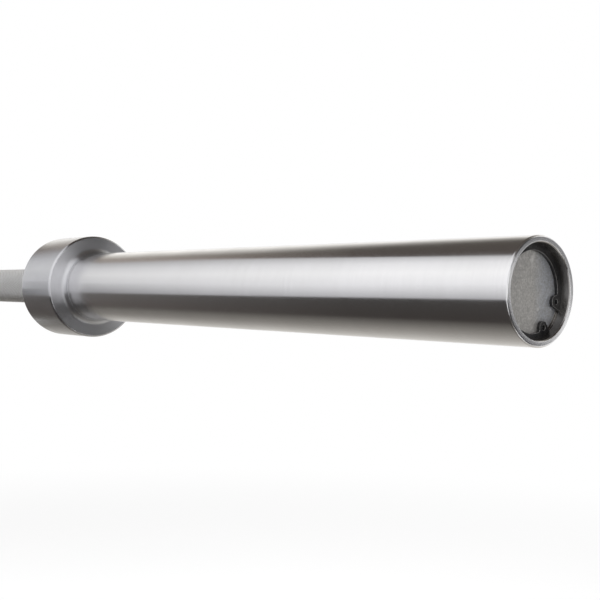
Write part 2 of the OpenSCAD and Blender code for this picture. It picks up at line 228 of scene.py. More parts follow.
# Steel with turned lines, clouds and rubbed edges with a painted highlight, which each bright piece gives its
# own values
def turnedSteel(name, look):
    material, tree, shader = newMaterial(name)
    lines = useGroup(tree, turnedLines, Pitch=look["linePitch"], Breakup=look["lineBreakup"])
    stain = useGroup(tree, patina, Cloud_size=look["cloudSize"], Grain_size=look["grainSize"])
    wornAndGlint = useGroup(tree, edgeWearAndGlint, Amount=look["edgeWearAndGlint"])["Worn"]
    along, radius = barPlaces(tree)[1:]
    fromMiddle = doMath(tree, "ABSOLUTE", along)
    clean = blendColour(tree, stain["Cloud"], look["colour"], look["cloudColour"])
    lined = blendColour(tree, multiply(tree, lines["Lines"], look["lineShade"]), clean, (0, 0, 0, 1))
    grained = blendColour(tree, multiply(tree, stain["Grain"], look["grainShade"]), lined, (0, 0, 0, 1))
    rough = addShare(tree, look["roughness"], lines["Lines"], look["lineRough"])
    rough = addShare(tree, rough, stain["Cloud"], look["cloudRough"])
    if "boreRadius" in look:  # bores are left rougher, as the boring tool made them, and darker with a painted shade in the recess
        within = upTo(tree, radius, look["boreRadius"])
        deep = upTo(tree, fromMiddle, look["boreEnd"])
        mouth = upTo(tree, radius, look["mouthRadius"])
        inside = doMath(tree, "MAXIMUM", multiply(tree, within, deep), mouth)
        grained = blendColour(tree, inside, grained, look["boreShadeColour"])
        rough = blendValue(tree, inside, rough, look["boreRoughness"])
    if "rimFrom" in look:  # the outside is turned finer than the face
        share = mapValue(tree, radius, look["rimFrom"], look["rimTo"], 1, look["rimShare"])
        rough = multiply(tree, rough, share)
    # Edges are lighter, partly from wear and partly from a painted highlight; in the dark bores they show as
    # painted glint lines
    colour = blendColour(tree, wornAndGlint, grained, look["edgeWearAndGlintColour"])
    rough = blendValue(tree, wornAndGlint, rough, look["edgeRoughness"])
    if "jointWidth" in look:  # a painted shade line, darker and rougher, on the sleeve where the collar ends
        past = doMath(tree, "SUBTRACT", fromMiddle, endOf("collar"))
        jointShade = mapValue(tree, past, 0, look["jointWidth"], 1, 0, True)
        colour = blendColour(tree, jointShade, colour, look["jointShadeColour"])
        rough = blendValue(tree, jointShade, rough, look["jointRoughness"])
    finishShader(tree, shader, look, colour, rough, lines["Height"])
    shader.inputs["Anisotropic"].default_value = look["anisotropy"]
    tangent = addNode(tree, "ShaderNodeTangent", direction_type="UV_MAP", uv_map="turned")
    tree.links.new(tangent.outputs[0], shader.inputs["Tangent"])
    return material


# Points of an outline along an arc, from one angle to another about the arc's middle
def arcPoints(along, radius, size, start, finish, steps):
    angles = [math.radians(start + (finish - start) * step / steps) for step in range(steps + 1)]
    return [(along + size * math.cos(a), radius + size * math.sin(a)) for a in angles]


# Rounding: steps in a corner, how far off the flat begins, and how much of a short side both may take. A corner
# wider than straightTurn degrees stays as it is, and a ring smaller than the pole is a single point
rounding = {"steps": 3, "support": 1.6, "straightTurn": 172, "sideShare": 0.3, "flatShare": 1.5, "pole": 1e-7}


# Rounds every corner of an outline of (along, radius) points, and marks the rounded points as edge
def roundOutline(points, corner, closed):
    support = corner * rounding["support"]
    steps = rounding["steps"]
    result = []
    count = len(points)
    for i, (along, radius) in enumerate(points):
        if not closed and i in (0, count - 1):
            result.append((along, radius, 0))
            continue
        before, after = points[i - 1], points[(i + 1) % count]
        toBefore = (before[0] - along, before[1] - radius)
        toAfter = (after[0] - along, after[1] - radius)
        lengthBefore, lengthAfter = math.hypot(*toBefore), math.hypot(*toAfter)
        unitBefore = (toBefore[0] / lengthBefore, toBefore[1] / lengthBefore)
        unitAfter = (toAfter[0] / lengthAfter, toAfter[1] / lengthAfter)
        turn = math.acos(max(-1, min(1, unitBefore[0] * unitAfter[0] + unitBefore[1] * unitAfter[1])))
        if turn > math.radians(rounding["straightTurn"]):  # all but straight, as along an arc
            result.append((along, radius, 0))
            continue
        room = rounding["sideShare"] * min(lengthBefore, lengthAfter)
        reach = min(corner / math.tan(turn / 2), room)
        flat = min(reach + support, rounding["flatShare"] * room)
        result.append((along + unitBefore[0] * flat, radius + unitBefore[1] * flat, 0))
        for step in range(steps + 1):
            t = step / steps
            a, b, c = (1 - t) ** 2, 2 * t * (1 - t), t * t  # a quadratic curve through the corner
            result.append((
                a * (along + unitBefore[0] * reach) + b * along + c * (along + unitAfter[0] * reach),
                a * (radius + unitBefore[1] * reach) + b * radius + c * (radius + unitAfter[1] * reach), 1))
        result.append((along + unitAfter[0] * flat, radius + unitAfter[1] * flat, 0))
    return result


# Turns an outline about the bar's axis. U follows the outline and V goes round it, for the shader's tangent
def lathe(name, outline, around, way=1, closed=True):
    rings, points, marks = [], [], []
    for along, radius, edge in outline:
        pole = radius < rounding["pole"]
        rings.append((len(points), pole))
        for k in range(1 if pole else around):
            angle = 2 * math.pi * k / around
            points.append((way * along, radius * math.cos(angle), radius * math.sin(angle)))
            marks.append(edge)
    travel = [0]
    for a, b in zip(outline, outline[1:] + outline[:1]):
        travel.append(travel[-1] + math.hypot(b[0] - a[0], b[1] - a[1]))
    faces, places = [], []
    for i in range(len(rings) if closed else len(rings) - 1):
        (first, firstPole), (second, secondPole) = rings[i], rings[(i + 1) % len(rings)]
        for k in range(around):
            n = (k + 1) % around
            corners = [(first + (0 if firstPole else k), travel[i], k)]
            if not firstPole:
                corners.append((first + n, travel[i], k + 1))
            if not secondPole:
                corners.append((second + n, travel[i + 1], k + 1))
            corners.append((second + (0 if secondPole else k), travel[i + 1], k))
            faces.append([c[0] for c in corners])
            places += [(c[1], c[2] / around) for c in corners]
    mesh = bpy.data.meshes.new(name)
    mesh.from_pydata(points, [], faces)
    layer = mesh.uv_layers.new(name="turned")
    for loop, place in zip(layer.data, places):
        loop.uv = place
    mark = mesh.attributes.new("edge", "FLOAT", "POINT")
    mark.data.foreach_set("value", marks)
    facing = bmesh.new()
    facing.from_mesh(mesh)
    bmesh.ops.recalc_face_normals(facing, faces=facing.faces)
    facing.to_mesh(mesh)
    facing.free()
    mesh.shade_smooth()
    piece = bpy.data.objects.new(name, mesh)
    bpy.context.scene.collection.objects.link(piece)
    return piece


def dress(piece, material, body, slot, *nodes):
    piece.data.materials.clear()
    piece.data.materials.append(material)
    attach(piece, body)
    if nodes:
        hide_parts(*nodes)


# Sleeve: the 50 mm tube, with the bores that hold the bearings and the recess for the end disc
sleeve = {
    "radius": 0.025, "seatRadius": 0.023, "sealBore": 0.0195, "cupBore": 0.016, "middleBore": 0.0155,
    "cavityBore": 0.020, "endBore": 0.02175, "ringGroove": 0.023, "groovePlay": 0.00005,
    "endRound": 0.0011, "endSteps": 10, "mouthChamfer": 0.0005, "innerChamfer": 0.0005, "endPlay": 0.0001,
    "flangeWidth": 0.003, "corner": 0.00012, "around": 192,
    "look": {
        "colour": (0.88, 0.875, 0.885, 1), "cloudColour": (0.85, 0.845, 0.85, 1), "cloudSize": 0.03,
        "grainSize": 0.0006, "grainShade": 0.03, "linePitch": 0.00055, "lineBreakup": 0.6, "lineShade": 0.10,
        "lineRough": 0.08, "roughness": 0.12, "cloudRough": 0.05, "anisotropy": 0.7,
        "bumpStrength": 0.12, "bumpDepth": 0.00002,
        "edgeWearAndGlint": 0.4, "edgeWearAndGlintColour": (0.86, 0.86, 0.87, 1), "edgeRoughness": 0.22,
        # The bore's colour is darker with a painted shade
        "boreRadius": 0.0231, "boreEnd": 1.0995, "mouthRadius": 0.02215, "boreShadeColour": (0.33, 0.315, 0.30, 1),
        "boreRoughness": 0.27,
        # A painted shade line where the collar's nose meets the sleeve
        "jointWidth": 0.0005, "jointShadeColour": (0.10, 0.095, 0.09, 1), "jointRoughness": 0.5,
    },
}


def sleeveOutline():
    inner, end = startOf("sleeve"), endOf("sleeve")
    nose = endOf("collar")
    ringFrom = startOf("end_retaining_ring") - sleeve["groovePlay"]
    ringTo = endOf("end_retaining_ring") + sleeve["groovePlay"]
    ledge = startOf("end_disc")
    thrust = startOf("outer_thrust_washer") - sleeve["endPlay"]
    outerCup, innerCup = startOf("outer_bearing_cup"), endOf("inner_bearing_cup")
    flangeEnd = startOf("flanged_bushing") + sleeve["flangeWidth"]
    rounded = arcPoints(end - sleeve["endRound"], sleeve["radius"] - sleeve["endRound"], sleeve["endRound"],
                        90, 0, sleeve["endSteps"])
    return [
        (inner, sleeve["sealBore"]), (inner, sleeve["seatRadius"] - sleeve["innerChamfer"]),
        (inner + sleeve["innerChamfer"], sleeve["seatRadius"]), (nose, sleeve["seatRadius"]),
        (nose, sleeve["radius"]), *rounded, (end, sleeve["endBore"] + sleeve["mouthChamfer"]),
        (end - sleeve["mouthChamfer"], sleeve["endBore"]), (ringTo, sleeve["endBore"]),
        (ringTo, sleeve["ringGroove"]), (ringFrom, sleeve["ringGroove"]), (ringFrom, sleeve["endBore"]),
        (ledge, sleeve["endBore"]), (ledge, sleeve["cavityBore"]), (thrust, sleeve["cavityBore"]),
        (thrust, sleeve["cupBore"]), (outerCup, sleeve["cupBore"]), (outerCup, sleeve["middleBore"]),
        (innerCup, sleeve["middleBore"]), (innerCup, sleeve["cupBore"]), (flangeEnd, sleeve["cupBore"]),
        (flangeEnd, sleeve["sealBore"]),
    ]


def makeSleeves():
    steel = turnedSteel("sleeveSteel", sleeve["look"])
    outline = roundOutline(sleeveOutline(), sleeve["corner"], True)
    for side, way in sides.items():
        tube = lathe(side + "SleeveTube", outline, sleeve["around"], way)
        dress(tube, steel, side + "_sleeve", "sleeve_steel", side + "_sleeve")


makeSleeves()
print("sleeves made")

# Collar: the thick ring against the sleeve's shoulder, with a cove down to its nose
collar = {
    "radius": 0.038, "boreRadius": 0.023, "edgeRound": 0.0016, "cove": 0.004, "noseRise": 0.0004,
    "arcSteps": 14, "corner": 0.0002, "around": 224,
    "look": {
        "colour": (0.725, 0.73, 0.755, 1), "cloudColour": (0.68, 0.68, 0.70, 1), "cloudSize": 0.018,
        "grainSize": 0.0005, "grainShade": 0.05, "linePitch": 0.0007, "lineBreakup": 0.5, "lineShade": 0.16,
        "lineRough": 0.10, "roughness": 0.24, "cloudRough": 0.05, "anisotropy": 0.86,
        "bumpStrength": 0.15, "bumpDepth": 0.00003,
        "edgeWearAndGlint": 0.9, "edgeWearAndGlintColour": (0.80, 0.80, 0.82, 1), "edgeRoughness": 0.26,
        "rimFrom": 0.0366, "rimTo": 0.0376, "rimShare": 0.6,
    },
}


def collarOutline():
    inner, nose = startOf("collar"), endOf("collar")
    face = nose - collar["cove"]
    noseRadius = sleeve["radius"] + collar["noseRise"]
    size = collar["edgeRound"]
    rim = collar["radius"] - size
    return [
        (inner, collar["boreRadius"]),
        *arcPoints(inner + size, rim, size, 180, 90, collar["arcSteps"]),
        *arcPoints(face - size, rim, size, 90, 0, collar["arcSteps"]),
        *arcPoints(nose, noseRadius + collar["cove"], collar["cove"], 180, 270, collar["arcSteps"]),
        (nose, collar["boreRadius"]),
    ]


def makeCollars():
    steel = turnedSteel("collarSteel", collar["look"])
    outline = roundOutline(collarOutline(), collar["corner"], True)
    for side, way in sides.items():
        ring = lathe(side + "CollarRing", outline, collar["around"], way)
        dress(ring, steel, side + "_sleeve", "collar_steel", side + "_collar")


makeCollars()
print("collars made")

# End disc: a plain punched disc, matt and mottled, with a painted shade, cooler and darker, on one side
disc = {
    "radius": 0.0217, "edgeChamfer": 0.0003, "corner": 0.00008, "around": 160,
    "colour": (0.70, 0.675, 0.635, 1), "darkColour": (0.31, 0.30, 0.285, 1), "fineShare": 0.68,
    "coarseShare": 0.45, "mottleSize": 0.0017, "grainSize": 0.0009, "cloudSize": 0.014,
    "roughness": 0.28, "roughSpread": 0.14, "bumpStrength": 0.35, "bumpDepth": 0.00005, "metallic": 0.55,
    # A painted shade, cooler and darker, over one side of the disc
    "shadedSideColour": (0.58, 0.615, 0.68, 1), "shadedSideFrom": 0.004, "shadedSideTo": 0.013, "shadedSideShares": (0.1, 0.9),
    "fleckColour": (0.86, 0.85, 0.82, 1), "fleckScale": 90, "fleckCut": (0.68, 0.74), "fleckShare": 0.8,
    "edgeWearAndGlint": 1.0, "edgeWearAndGlintColour": (0.86, 0.86, 0.86, 1),
}


def discMetal():
    material, tree, shader = newMaterial("discSteel")
    coarse = useGroup(tree, patina, Cloud_size=disc["cloudSize"], Grain_size=disc["mottleSize"])
    fine = useGroup(tree, patina, Cloud_size=disc["mottleSize"], Grain_size=disc["grainSize"])
    place = addNode(tree, "ShaderNodeTexCoord").outputs["Object"]
    # Painted shade: one side is cooler and darker, and the coarse clouds break up its border
    across = addNode(tree, "ShaderNodeSeparateXYZ", {0: place}).outputs[1]
    across = addShare(tree, across, coarse["Cloud"], disc["shadedSideFrom"])
    shadedSide = mapValue(tree, across, disc["shadedSideFrom"], disc["shadedSideTo"], *disc["shadedSideShares"], True)
    mottled = blendColour(tree, shadedSide, disc["colour"], disc["shadedSideColour"])
    for stain, share in ((fine, "fineShare"), (coarse, "coarseShare")):
        amount = multiply(tree, stain["Grain"], disc[share])
        mottled = blendColour(tree, amount, mottled, disc["darkColour"])
    flecks = addNode(tree, "ShaderNodeTexNoise", {"Vector": place, "Scale": disc["fleckScale"], "Detail": 1})
    fleck = mapValue(tree, flecks.outputs[0], *disc["fleckCut"], 0, disc["fleckShare"])
    flecked = blendColour(tree, fleck, mottled, disc["fleckColour"])
    # The chamfer is lighter: a painted glint, partly wear
    wornAndGlint = useGroup(tree, edgeWearAndGlint, Amount=disc["edgeWearAndGlint"])["Worn"]
    colour = blendColour(tree, wornAndGlint, flecked, disc["edgeWearAndGlintColour"])
    rough = addShare(tree, disc["roughness"], coarse["Grain"], disc["roughSpread"])
    finishShader(tree, shader, disc, colour, rough, fine["Grain"])
    return material


def makeDiscs():
    metal = discMetal()
    near, far = startOf("end_disc"), endOf("end_disc")
    outline = [(near, 0), (near, disc["radius"]), (far - disc["edgeChamfer"], disc["radius"]),
               (far, disc["radius"] - disc["edgeChamfer"]), (far, 0)]
    outline = roundOutline(outline, disc["corner"], False)
    for side, way in sides.items():
        plate = lathe(side + "EndDisc", outline, disc["around"], way, closed=False)
        dress(plate, metal, side + "_sleeve", "disc_steel", side + "_end_disc")


makeDiscs()
print("end discs made")

# Retaining rings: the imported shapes, cleaned and with their sharp edges broken
ring = {
    "weld": 0.000002, "flatWithin": 1.0, "bevel": 0.00026, "bevelAngle": 35, "segments": 3,
    "colour": (0.016, 0.016, 0.018, 1), "rubbed": (0.055, 0.053, 0.05, 1), "rubbedShare": 0.5,
    "cloudSize": 0.004, "grainSize": 0.0007, "roughness": 0.24, "roughSpread": 0.16, "bumpStrength": 0.2,
    "bumpDepth": 0.00003, "metallic": 0.35, "edgeWearAndGlint": 0.75, "edgeWearAndGlintColour": (0.42, 0.41, 0.40, 1),
}


def blackOxide():
    material, tree, shader = newMaterial("ringBlack")
    stain = useGroup(tree, patina, Cloud_size=ring["cloudSize"], Grain_size=ring["grainSize"])
    rubbed = multiply(tree, stain["Cloud"], ring["rubbedShare"])
    colour = blendColour(tree, rubbed, ring["colour"], ring["rubbed"])
    # Edges are rubbed lighter through the oxide, partly from wear and partly from a painted glint
    wornAndGlint = useGroup(tree, edgeWearAndGlint, Amount=ring["edgeWearAndGlint"])["Worn"]
    colour = blendColour(tree, wornAndGlint, colour, ring["edgeWearAndGlintColour"])
    rough = addShare(tree, ring["roughness"], stain["Grain"], ring["roughSpread"])
    finishShader(tree, shader, ring, colour, rough, stain["Grain"])
    return material


def makeRing(name, node, body, material):
    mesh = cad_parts[node].data.copy()
    shape = bmesh.new()
    shape.from_mesh(mesh)
    bmesh.ops.remove_doubles(shape, verts=shape.verts, dist=ring["weld"])
    bmesh.ops.dissolve_limit(shape, angle_limit=math.radians(ring["flatWithin"]), verts=shape.verts,
                             edges=shape.edges)
    sharp = [edge for edge in shape.edges if edge.calc_face_angle(0) > math.radians(ring["bevelAngle"])]
    mark = shape.faces.layers.float.new("edge")
    rounded = bmesh.ops.bevel(shape, geom=sharp, offset=ring["bevel"], segments=ring["segments"], profile=0.5,
                              affect="EDGES", clamp_overlap=True)
    for face in rounded["faces"]:
        face[mark] = 1
    shape.to_mesh(mesh)
    shape.free()
    mesh.name = name
    piece = bpy.data.objects.new(name, mesh)
    bpy.context.scene.collection.objects.link(piece)
    mesh.shade_smooth()
    flatten = piece.modifiers.new("flat", "WEIGHTED_NORMAL")
    flatten.keep_sharp = True
    dress(piece, material, body, "ring_black", node)


def makeRings():
    material = blackOxide()
    for side in sides:
        makeRing(side + "EndRing", side + "_end_retaining_ring", side + "_sleeve", material)
        makeRing(side + "ShaftRing", side + "_shaft_retaining_ring", "shaft", material)


makeRings()
print("retaining rings made")

# Shaft: smooth where it isn't knurled, with a core under the knurl, and a stub at each end
shaft = {
    "gripRadius": 0.014, "coreRadius": 0.0136, "stubRadius": 0.0125, "reliefRadius": 0.01225,
    "reliefWidth": 0.0015, "grooveRadius": 0.01195, "groovePlay": 0.0001, "chamfer": 0.0008,
    "centreRadius": 0.004, "pilotRadius": 0.00125, "coneDepth": 0.00476, "pilotDepth": 0.004,
    "corner": 0.0001, "around": 96,
    "look": {
        "colour": (0.60, 0.60, 0.605, 1), "cloudColour": (0.54, 0.54, 0.54, 1), "cloudSize": 0.02,
        "grainSize": 0.0006, "grainShade": 0.06, "linePitch": 0.0006, "lineBreakup": 0.5, "lineShade": 0.12,
        "lineRough": 0.10, "roughness": 0.26, "cloudRough": 0.06, "anisotropy": 0.5,
        "bumpStrength": 0.12, "bumpDepth": 0.00002,
        "edgeWearAndGlint": 0.6, "edgeWearAndGlintColour": (0.74, 0.74, 0.75, 1), "edgeRoughness": 0.28,
    },
}

# Knurl: diamonds pressed into the grip, in five zones with smooth rings and gaps between them
knurl = {
    "centreLength": 0.120, "handLength": 0.445, "markSpan": 0.910, "markWidth": 0.005, "endGap": 0.001,
    "around": 96, "rowStep": 0.0015, "valleyRadius": 0.01374, "crestRadius": 0.01416, "runout": 0.003,
    "colour": (0.80, 0.80, 0.80, 1), "valleyColour": (0.52, 0.515, 0.505, 1),
    "crestColour": (0.88, 0.88, 0.885, 1), "roughness": 0.42, "crestRoughness": 0.30, "weld": 0.00001,
    "cloudSize": 0.012, "cloudShade": 0.35, "grainSize": 0.0005, "grainRough": 0.08,
}


def knurlZones():
    inner = startOf("collar")
    mark = knurl["markSpan"] / 2
    hand = [(inner - knurl["handLength"], mark), (mark + knurl["markWidth"], inner - knurl["endGap"])]
    centre = [(-knurl["centreLength"] / 2, knurl["centreLength"] / 2)]
    return [(-b, -a) for a, b in reversed(hand)] + centre + hand


def shaftOutline():
    shoulder = startOf("inner_thrust_washer")
    clip = startOf("shaft_retaining_ring")
    clipEnd = endOf("shaft_retaining_ring") + shaft["groovePlay"]
    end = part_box("shaft")[1].x
    tip = [
        (shoulder - shaft["chamfer"], shaft["gripRadius"]),
        (shoulder, shaft["gripRadius"] - shaft["chamfer"]),
        (shoulder, shaft["reliefRadius"]), (shoulder + shaft["reliefWidth"], shaft["reliefRadius"]),
        (shoulder + shaft["reliefWidth"], shaft["stubRadius"]), (clip, shaft["stubRadius"]),
        (clip, shaft["grooveRadius"]), (clipEnd, shaft["grooveRadius"]), (clipEnd, shaft["stubRadius"]),
        (end - shaft["chamfer"], shaft["stubRadius"]), (end, shaft["stubRadius"] - shaft["chamfer"]),
        (end, shaft["centreRadius"]), (end - shaft["coneDepth"], shaft["pilotRadius"]),
        (end - shaft["coneDepth"] - shaft["pilotDepth"], shaft["pilotRadius"]),
        (end - shaft["coneDepth"] - shaft["pilotDepth"], 0),
    ]
    grip = []
    for start, finish in knurlZones():
        slope = knurl["runout"] / 2
        grip += [(start, shaft["gripRadius"]), (start + slope, shaft["coreRadius"]),
                 (finish - slope, shaft["coreRadius"]), (finish, shaft["gripRadius"])]
    return [(-a, r) for a, r in reversed(tip)] + grip + tip


# The knurl's tree: a grid whose points stand high and low by turns, wrapped round the shaft
def makeKnurlTree():
    tree = bpy.data.node_groups.new("knurlWrap", "GeometryNodeTree")
    kinds = {"Start": "Float", "Length": "Float", "Rows": "Int", "Around": "Int", "Valley": "Float",
             "Crest": "Float", "Smooth": "Float", "Runout": "Float", "Material": "Material"}
    for label, kind in kinds.items():
        tree.interface.new_socket(label, in_out="INPUT", socket_type="NodeSocket" + kind)
    tree.interface.new_socket("Geometry", in_out="OUTPUT", socket_type="NodeSocketGeometry")
    given = tree.nodes.new("NodeGroupInput").outputs
    rows = add(tree, given["Rows"], 1)
    columns = add(tree, given["Around"], 1)
    grid = addNode(tree, "GeometryNodeMeshGrid", {"Size X": 1, "Size Y": 1, "Vertices X": rows,
                   "Vertices Y": columns})
    place = addNode(tree, "ShaderNodeSeparateXYZ", {0: addNode(tree, "GeometryNodeInputPosition").outputs[0]})
    u = add(tree, place.outputs[0], 0.5)
    v = add(tree, place.outputs[1], 0.5)
    row = doMath(tree, "ROUND", multiply(tree, u, given["Rows"]))
    column = doMath(tree, "ROUND", multiply(tree, v, given["Around"]))
    odd = doMath(tree, "MODULO", add(tree, row, column), 2)
    height = addShare(tree, given["Valley"], odd, doMath(tree, "SUBTRACT", given["Crest"], given["Valley"]))
    toEnd = doMath(tree, "MINIMUM", u, doMath(tree, "SUBTRACT", 1, u))
    toEnd = multiply(tree, toEnd, given["Length"])
    fade = doMath(tree, "DIVIDE", toEnd, given["Runout"], clamp=True)
    radius = addShare(tree, given["Smooth"], fade, doMath(tree, "SUBTRACT", height, given["Smooth"]))
    angle = multiply(tree, v, -2 * math.pi)
    along = addShare(tree, given["Start"], u, given["Length"])
    wrapped = addNode(tree, "ShaderNodeCombineXYZ", {
        0: along,
        1: multiply(tree, radius, doMath(tree, "COSINE", angle)),
        2: multiply(tree, radius, doMath(tree, "SINE", angle)),
    })
    shape = addNode(tree, "GeometryNodeSetPosition", {"Geometry": grid.outputs["Mesh"],
                    "Position": wrapped.outputs[0]})
    shape = addNode(tree, "GeometryNodeMergeByDistance", {"Geometry": shape.outputs[0],
                    "Distance": knurl["weld"]})
    shape = addNode(tree, "GeometryNodeTriangulate", {"Mesh": shape.outputs[0]})
    shape = addNode(tree, "GeometryNodeSetShadeSmooth", {"Geometry": shape.outputs[0], "Shade Smooth": False})
    shape = addNode(tree, "GeometryNodeRealizeInstances", {"Geometry": shape.outputs[0]})
    shape = addNode(tree, "GeometryNodeSetMaterial", {"Geometry": shape.outputs[0],
                    "Material": given["Material"]})
    out = tree.nodes.new("NodeGroupOutput")
    tree.links.new(shape.outputs[0], out.inputs["Geometry"])
    return tree


def knurlSteel():
    material, tree, shader = newMaterial("knurlSteel")
    radius = barPlaces(tree)[2]
    stain = useGroup(tree, patina, Cloud_size=knurl["cloudSize"], Grain_size=knurl["grainSize"])
    low = knurl["valleyRadius"]
    high = knurl["crestRadius"]
    flank = mapValue(tree, radius, low, (low + high) / 2, 0, 1, True)
    crest = mapValue(tree, radius, (low + 2 * high) / 3, high, 0, 1, True)
    colour = blendColour(tree, flank, knurl["valleyColour"], knurl["colour"])
    clouded = multiply(tree, stain["Cloud"], knurl["cloudShade"])
    colour = blendColour(tree, clouded, colour, knurl["valleyColour"])
    tree.links.new(blendColour(tree, crest, colour, knurl["crestColour"]), shader.inputs["Base Color"])
    rough = blendValue(tree, crest, knurl["roughness"], knurl["crestRoughness"])
    rough = addShare(tree, rough, stain["Grain"], knurl["grainRough"])
    tree.links.new(rough, shader.inputs["Roughness"])
    shader.inputs["Metallic"].default_value = 1
    return material


def makeKnurl():
    tree = makeKnurlTree()
    material = knurlSteel()
    socket = {item.name: item.identifier for item in tree.interface.items_tree if item.in_out == "INPUT"}
    whole = bmesh.new()
    for start, finish in knurlZones():
        rows = 2 * round((finish - start) / knurl["rowStep"] / 2)
        host = bpy.data.objects.new("knurlHost", bpy.data.meshes.new("knurlHost"))
        bpy.context.scene.collection.objects.link(host)
        wrap = host.modifiers.new("wrap", "NODES")
        wrap.node_group = tree
        values = {"Start": start, "Length": finish - start, "Rows": rows, "Around": knurl["around"],
                  "Valley": knurl["valleyRadius"], "Crest": knurl["crestRadius"],
                  "Smooth": shaft["gripRadius"], "Runout": knurl["runout"], "Material": material}
        for label, value in values.items():
            wrap[socket[label]] = value
        bpy.context.view_layer.update()
        made = bpy.data.meshes.new_from_object(host.evaluated_get(bpy.context.evaluated_depsgraph_get()))
        whole.from_mesh(made)
        host.modifiers.remove(wrap)
        bpy.data.objects.remove(host)
        bpy.data.meshes.remove(made)
    mesh = bpy.data.meshes.new("gripKnurl")
    whole.to_mesh(mesh)
    whole.free()
    piece = bpy.data.objects.new("gripKnurl", mesh)
    bpy.context.scene.collection.objects.link(piece)
    dress(piece, material, "shaft", "shaft_steel")
    print("knurl:", len(mesh.polygons), "faces")


def makeShaft():
    steel = turnedSteel("shaftSteel", shaft["look"])
    outline = roundOutline(shaftOutline(), shaft["corner"], False)
    bar = lathe("barShaft", outline, shaft["around"], closed=False)
    dress(bar, steel, "shaft", "shaft_steel", "shaft")


makeShaft()
makeKnurl()
print("shaft made")

# Inner pieces keep their CAD shapes, and each gets its own finish
innerShared = {
    "linePitch": 0.0004, "lineBreakup": 0.4, "cloudSize": 0.006, "grainRough": 0.08, "grainShare": 0.5,
    "bumpDepth": 0.00003,
}
innerLooks = {
    "dust_seal": {"colour": (0.022, 0.022, 0.023, 1), "dark": (0.045, 0.043, 0.04, 1), "metallic": 0,
                  "roughness": 0.62, "grainSize": 0.0008, "bumpStrength": 0.35},
    "thrust_washer": {"colour": (0.52, 0.38, 0.20, 1), "dark": (0.40, 0.27, 0.13, 1),
                      "roughness": 0.30, "grainSize": 0.0006, "bumpStrength": 0.12},
    "flanged_bushing": {"colour": (0.58, 0.40, 0.18, 1), "dark": (0.44, 0.29, 0.12, 1),
                        "roughness": 0.34, "grainSize": 0.0005, "bumpStrength": 0.2},
    "bearing_cup": {"colour": (0.60, 0.61, 0.63, 1), "dark": (0.48, 0.48, 0.50, 1),
                    "roughness": 0.26, "grainSize": 0.0006, "bumpStrength": 0.1},
    "bearing_cage": {"colour": (0.40, 0.41, 0.44, 1), "dark": (0.27, 0.27, 0.29, 1),
                     "roughness": 0.42, "grainSize": 0.0005, "bumpStrength": 0.15},
    "bearing_rollers": {"colour": (0.74, 0.74, 0.76, 1), "dark": (0.64, 0.64, 0.66, 1),
                        "roughness": 0.10, "grainSize": 0.0009, "bumpStrength": 0.04},
}


def innerFinish(name, look):
    material, tree, shader = newMaterial(name)
    lines = useGroup(tree, turnedLines, Pitch=look["linePitch"], Breakup=look["lineBreakup"])["Lines"]
    stain = useGroup(tree, patina, Cloud_size=look["cloudSize"], Grain_size=look["grainSize"])
    colour = blendColour(tree, stain["Cloud"], look["colour"], look["dark"])
    rough = addShare(tree, look["roughness"], stain["Grain"], look["grainRough"])
    height = blendValue(tree, look["grainShare"], lines, stain["Grain"])
    finishShader(tree, shader, look, colour, rough, height)
    return material


def dressInner():
    for kind, look in innerLooks.items():
        material = innerFinish(kind.title().replace("_", "") + "Finish", {**innerShared, **look})
        for name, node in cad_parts.items():
            if name.endswith(kind):
                node.data.materials.clear()
                node.data.materials.append(material)


dressInner()
print("inner pieces dressed")

